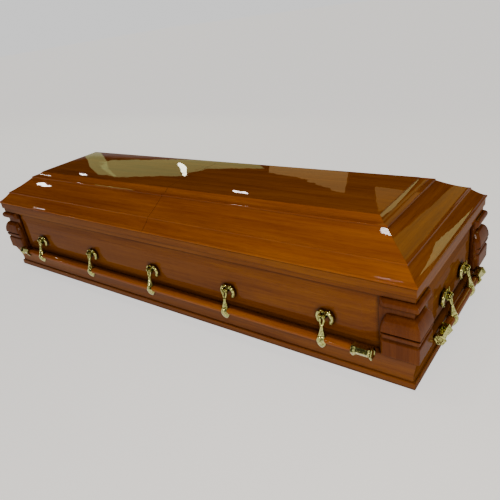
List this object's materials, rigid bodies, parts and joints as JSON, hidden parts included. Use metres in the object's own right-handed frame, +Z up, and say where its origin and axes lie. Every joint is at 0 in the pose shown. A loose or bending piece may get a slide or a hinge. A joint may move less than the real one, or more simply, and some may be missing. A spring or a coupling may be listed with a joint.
{
  "type": "wooden coffin",
  "caption": "Lacquered wooden coffin with a moulded base, corner posts, raised panels, a split hipped lid that lifts off, and swing-bar handles all round.",
  "frame": {"origin": "on the ground under the middle of the box", "axes": "+X along the length to the foot end, -Y the front long side, +Z up through the lid"},
  "size_m": [2.196, 0.764, 0.4708],
  "materials": {
    "lacquered_wood": "mahogany-stained wood under clear high-gloss lacquer",
    "plain_wood": "planed board, no lacquer",
    "brass": "polished and clear-lacquered, pale"
  },
  "bodies": {
    "casket": {"floor_board": "plain_wood", "base_front": "lacquered_wood", "base_back": "lacquered_wood", "base_head": "lacquered_wood", "base_foot": "lacquered_wood", "side_front": "lacquered_wood", "side_back": "lacquered_wood", "side_head": "lacquered_wood", "side_foot": "lacquered_wood", "post_head_front": "lacquered_wood", "post_foot_front": "lacquered_wood", "post_foot_back": "lacquered_wood", "post_head_back": "lacquered_wood", "rim_frame": "lacquered_wood", "lid_head_frame": "lacquered_wood", "lid_head_crown": "lacquered_wood", "lid_foot_frame": "lacquered_wood", "lid_foot_crown": "lacquered_wood", "lug_front_1": "brass", "lug_front_2": "brass", "lug_front_3": "brass", "lug_front_4": "brass", "lug_front_5": "brass", "lug_back_1": "brass", "lug_back_2": "brass", "lug_back_3": "brass", "lug_back_4": "brass", "lug_back_5": "brass", "lug_head_1": "brass", "lug_head_2": "brass", "lug_foot_1": "brass", "lug_foot_2": "brass"},
    "handle_front": {"bar_front": "lacquered_wood", "arm_front_1": "brass", "arm_front_2": "brass", "arm_front_3": "brass", "arm_front_4": "brass", "arm_front_5": "brass", "tip_front_1": "brass", "tip_front_2": "brass"},
    "handle_back": {"bar_back": "lacquered_wood", "arm_back_1": "brass", "arm_back_2": "brass", "arm_back_3": "brass", "arm_back_4": "brass", "arm_back_5": "brass", "tip_back_1": "brass", "tip_back_2": "brass"},
    "handle_head": {"bar_head": "lacquered_wood", "arm_head_1": "brass", "arm_head_2": "brass", "tip_head_1": "brass", "tip_head_2": "brass"},
    "handle_foot": {"bar_foot": "lacquered_wood", "arm_foot_1": "brass", "arm_foot_2": "brass", "tip_foot_1": "brass", "tip_foot_2": "brass"}
  },
  "joints": [
    {"name": "swing_front", "type": "hinge", "parent": "casket", "child": "handle_front", "pos_m": [0, -0.354, 0.192], "axis": [-1, 0, 0], "range_deg": [0, 85]},
    {"name": "swing_back", "type": "hinge", "parent": "casket", "child": "handle_back", "pos_m": [0, 0.354, 0.192], "axis": [1, 0, 0], "range_deg": [0, 85]},
    {"name": "swing_foot", "type": "hinge", "parent": "casket", "child": "handle_foot", "pos_m": [1.07, 0, 0.192], "axis": [0, -1, 0], "range_deg": [0, 85]},
    {"name": "swing_head", "type": "hinge", "parent": "casket", "child": "handle_head", "pos_m": [-1.07, 0, 0.192], "axis": [0, 1, 0], "range_deg": [0, 85]}
  ]
}
